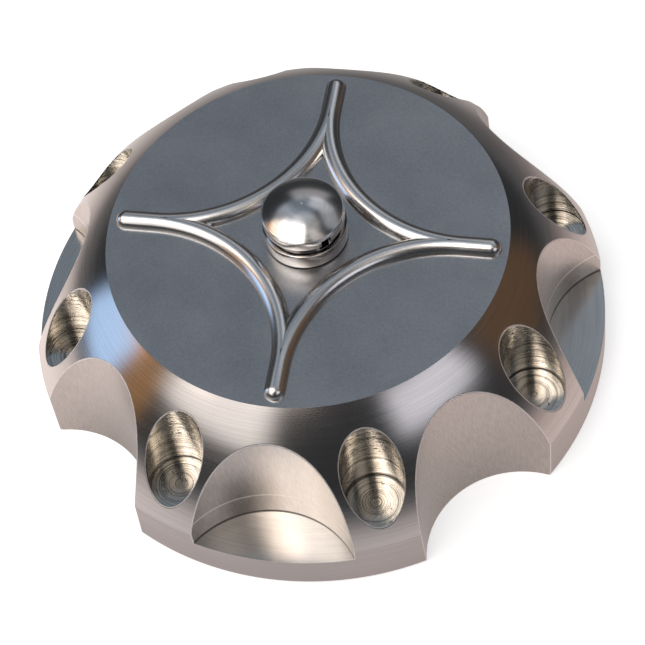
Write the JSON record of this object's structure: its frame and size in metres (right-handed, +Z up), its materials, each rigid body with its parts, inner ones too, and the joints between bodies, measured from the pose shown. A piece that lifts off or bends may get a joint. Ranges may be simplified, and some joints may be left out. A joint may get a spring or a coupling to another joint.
{
  "type": "fuel cap",
  "caption": "Round billet screw-on fuel cap with finger scallops, drilled holes, a raised star and a sprung push-to-vent button.",
  "frame": {"origin": "on the cap's axis, in the plane of the rim's lower face", "axes": "+Z up along the cap's axis towards the button; +X along the star's right-hand arm"},
  "size_m": [0.084, 0.084, 0.0333],
  "materials": {
    "billet": "bare machined billet, fine turned and milled marks, satin",
    "polished_metal": "turned and polished bare metal",
    "turned_aluminium": "turned, bare",
    "pressed_aluminium": "pressed sheet, bare",
    "plain_steel": "bright zinc plated steel",
    "spring_steel": "drawn stainless wire",
    "brass": "turned brass",
    "black_rubber": "black fuel-proof rubber"
  },
  "bodies": {
    "cap": {"cap_body": "billet", "neck_gasket": "black_rubber", "bush_gasket": "black_rubber", "vent_bush": "polished_metal", "bush_nut": "plain_steel", "valve_plate": "turned_aluminium", "plate_gasket": "black_rubber", "plate_screws": "plain_steel", "splash_baffle": "pressed_aluminium", "button_spring": "spring_steel", "vacuum_spring": "spring_steel", "relief_spring": "spring_steel"},
    "button": {"vent_button": "polished_metal", "button_stem": "plain_steel", "button_clip": "plain_steel"},
    "vacuum": {"vacuum_valve": "brass", "vacuum_seal": "black_rubber", "vacuum_clip": "plain_steel"},
    "relief": {"relief_valve": "brass", "relief_seal": "black_rubber"}
  },
  "joints": [
    {"name": "button_slide", "type": "slide", "parent": "cap", "child": "button", "axis": [0, 0, 1], "range_m": [-0.0012, 0], "stiffness_N_per_m": 150, "springref_m": 0.004, "deforming": ["button_spring"]},
    {"name": "vacuum_slide", "type": "slide", "parent": "cap", "child": "vacuum", "axis": [0, 0, 1], "range_m": [-0.0012, 0], "deforming": ["vacuum_spring"]},
    {"name": "relief_slide", "type": "slide", "parent": "cap", "child": "relief", "axis": [0, 0, 1], "range_m": [0, 0.0008], "stiffness_N_per_m": 80, "springref_m": -0.002, "deforming": ["relief_spring"]}
  ],
  "couplings": [
    {"joint": "vacuum_slide", "follows": "button_slide", "ratio": 1}
  ]
}
